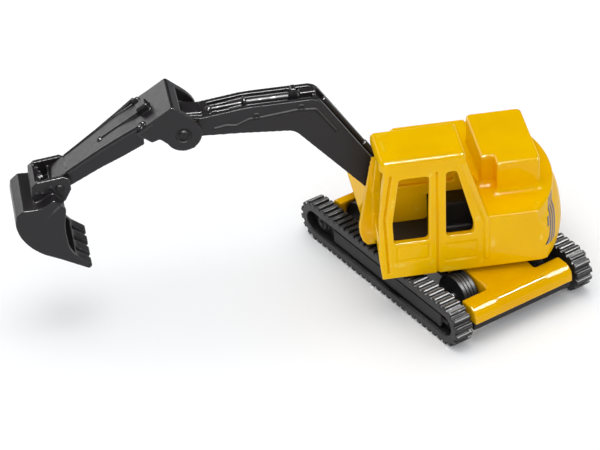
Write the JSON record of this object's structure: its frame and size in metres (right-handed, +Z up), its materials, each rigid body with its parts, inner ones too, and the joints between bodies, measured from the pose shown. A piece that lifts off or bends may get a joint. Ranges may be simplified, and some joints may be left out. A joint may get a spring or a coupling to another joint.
{
  "type": "toy excavator",
  "caption": "pocket die-cast tracked excavator with a turning cab body, cranked boom, forked stick and toothed bucket on hinge pins, rolling on hidden wheels beside fixed tracks",
  "frame": {"origin": "on the ground under the slewing axis, the vertical line that the upper body turns about", "axes": "+X from the machine's tail along the boom towards the bucket, +Y to the machine's left, where the cab is, +Z up; the tracks are stored turned 64.7 degrees clockwise under the body"},
  "size_m": [0.1067, 0.0594, 0.0458],
  "materials": {
    "yellow_enamel": "thick glossy yellow enamel on a zinc casting",
    "black_base": "satin moulded black plastic",
    "track_rubber": "dark grey moulded rubber with a slight sheen",
    "black_wheel": "satin black plastic, grooved tread",
    "black_interior": "matt black plastic",
    "black_arm": "satin black moulded plastic with a soft grain",
    "black_pin": "blackened steel pin",
    "steel": "plain steel"
  },
  "bodies": {
    "undercarriage": {"chassis_cover": "yellow_enamel", "base_plate": "black_base", "chassis_rivets": "steel", "track_belt_left": "track_rubber", "track_belt_right": "track_rubber", "track_frame_left": "black_base", "track_frame_right": "black_base"},
    "front_wheels": {"front_axle": "steel", "front_wheel_left": "black_wheel", "front_wheel_right": "black_wheel"},
    "rear_wheels": {"rear_axle": "steel", "rear_wheel_left": "black_wheel", "rear_wheel_right": "black_wheel"},
    "superstructure": {"slew_ring": "black_base", "slew_washer": "steel", "slew_rivet": "steel", "floor_plate": "black_interior", "upper_shell": "yellow_enamel", "boom_foot_pin": "steel"},
    "boom": {"boom": "black_arm"},
    "stick": {"stick": "black_arm", "elbow_pin": "black_pin"},
    "bucket": {"bucket": "black_arm", "bucket_pin": "black_pin"}
  },
  "joints": [
    {"name": "front_roll", "type": "hinge", "parent": "undercarriage", "child": "front_wheels", "pos_m": [0.00641, -0.01356, 0.00435], "axis": [0.9041, 0.4274, 0], "continuous": true},
    {"name": "rear_roll", "type": "hinge", "parent": "undercarriage", "child": "rear_wheels", "pos_m": [-0.00641, 0.01356, 0.00435], "axis": [0.9041, 0.4274, 0], "continuous": true},
    {"name": "slew", "type": "hinge", "parent": "undercarriage", "child": "superstructure", "pos_m": [0, 0, 0.0088], "axis": [0, 0, 1], "continuous": true},
    {"name": "boom_lift", "type": "hinge", "parent": "superstructure", "child": "boom", "pos_m": [0.0072, 0, 0.014], "axis": [0, -1, 0], "range_deg": [-22, 18]},
    {"name": "stick_swing", "type": "hinge", "parent": "boom", "child": "stick", "pos_m": [0.0492, 0, 0.0396], "axis": [0, -1, 0], "range_deg": [-60, 45]},
    {"name": "bucket_curl", "type": "hinge", "parent": "stick", "child": "bucket", "pos_m": [0.0726, 0, 0.0304], "axis": [0, -1, 0], "range_deg": [-65, 60]}
  ]
}
